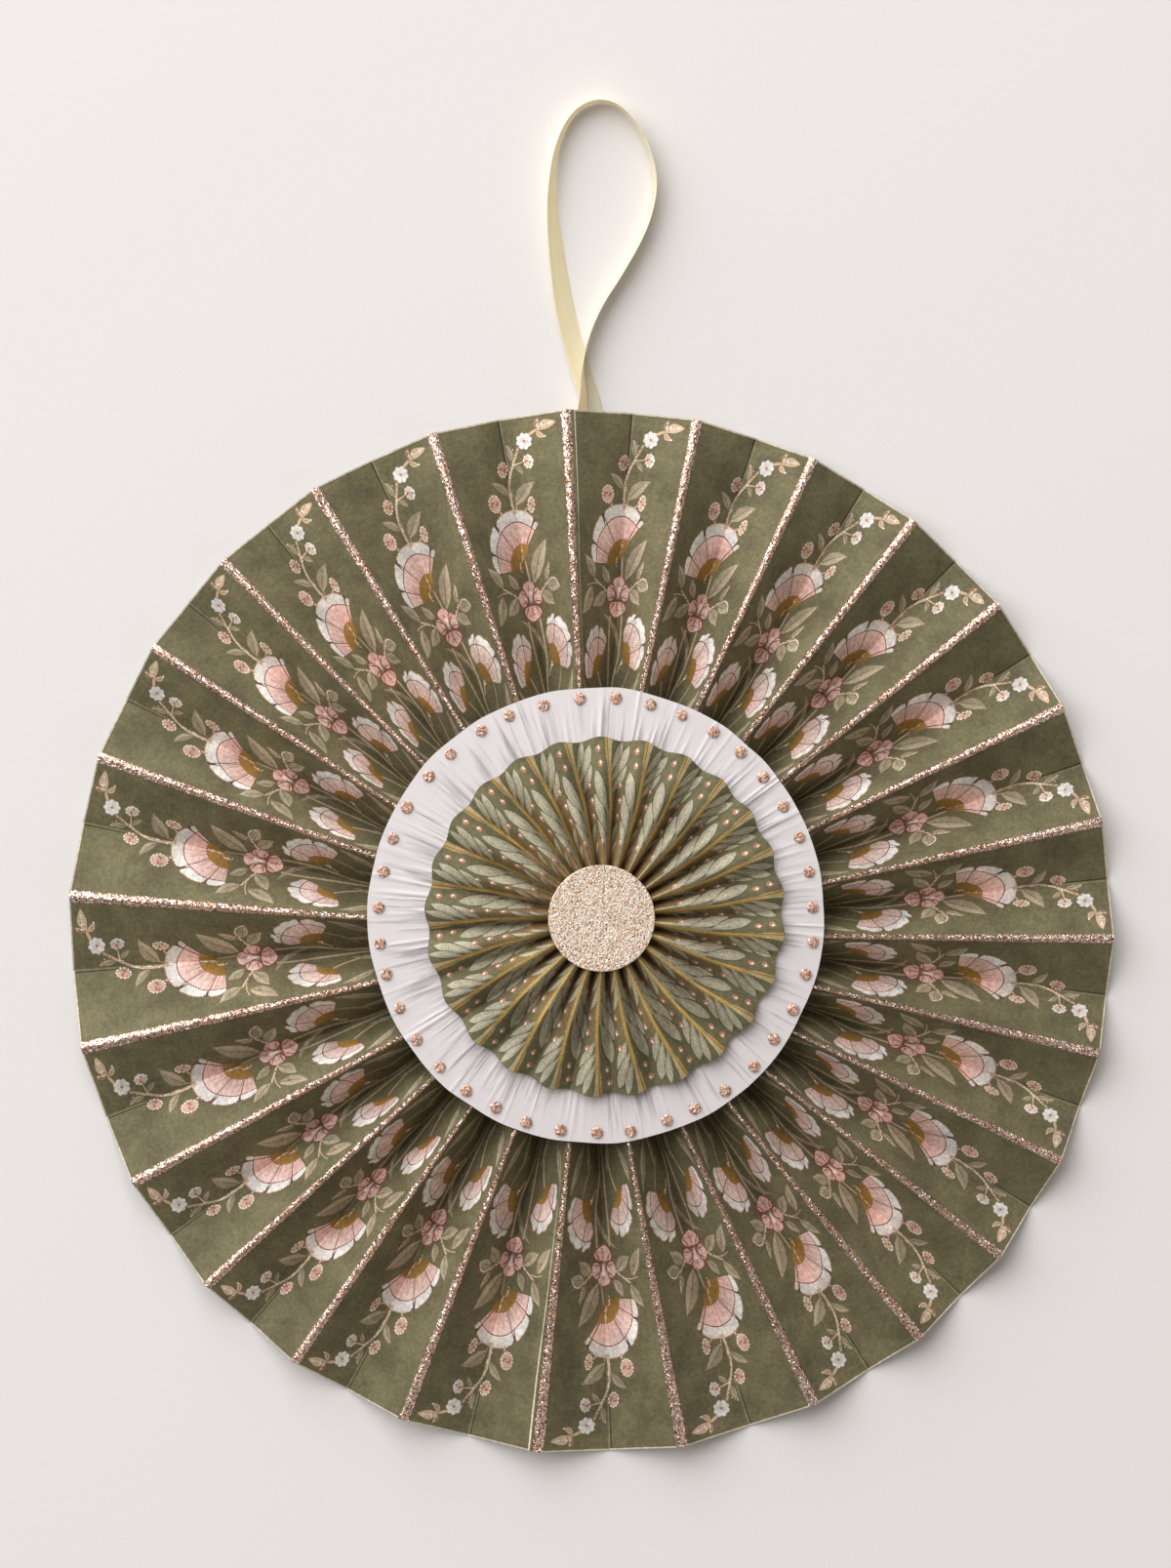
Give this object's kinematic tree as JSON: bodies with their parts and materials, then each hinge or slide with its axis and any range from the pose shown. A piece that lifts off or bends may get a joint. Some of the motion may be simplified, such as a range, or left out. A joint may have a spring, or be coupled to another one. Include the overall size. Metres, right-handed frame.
{
  "type": "paper fan medallion",
  "caption": "Round paper fan decoration: a pleated printed paper ring with glitter ridges, a gathered white collar, a small pleated rosette, a glitter disc and a ribbon loop to hang it by.",
  "frame": {"origin": "centre of the large rosette, on the surface that the medallion lies on", "axes": "+Z out of the printed face, +Y towards the ribbon loop, +X to the right of the loop as seen from the front"},
  "size_m": [0.2996, 0.3891, 0.03],
  "materials": {
    "printed_paper": "matt printed cotton paper, olive green with pink and white flower sprays, linen-like weave",
    "leaf_paper": "matt printed paper, green with pale sage leaves and ochre stems",
    "white_crepe": "matt white crinkled paper",
    "backing_card": "plain matt card",
    "copper_glitter": "coarse rose-gold glitter in clear glue",
    "glitter_card": "card coated with fine champagne glitter",
    "satin_ribbon": "cream satin with a woven edge"
  },
  "bodies": {
    "root": {"large_rosette": "printed_paper", "ridge_glitter": "copper_glitter", "backing_disc": "backing_card", "collar": "white_crepe", "collar_dots": "copper_glitter", "small_rosette": "leaf_paper", "centre_disc": "glitter_card", "ribbon": "satin_ribbon"}
  },
  "joints": []
}
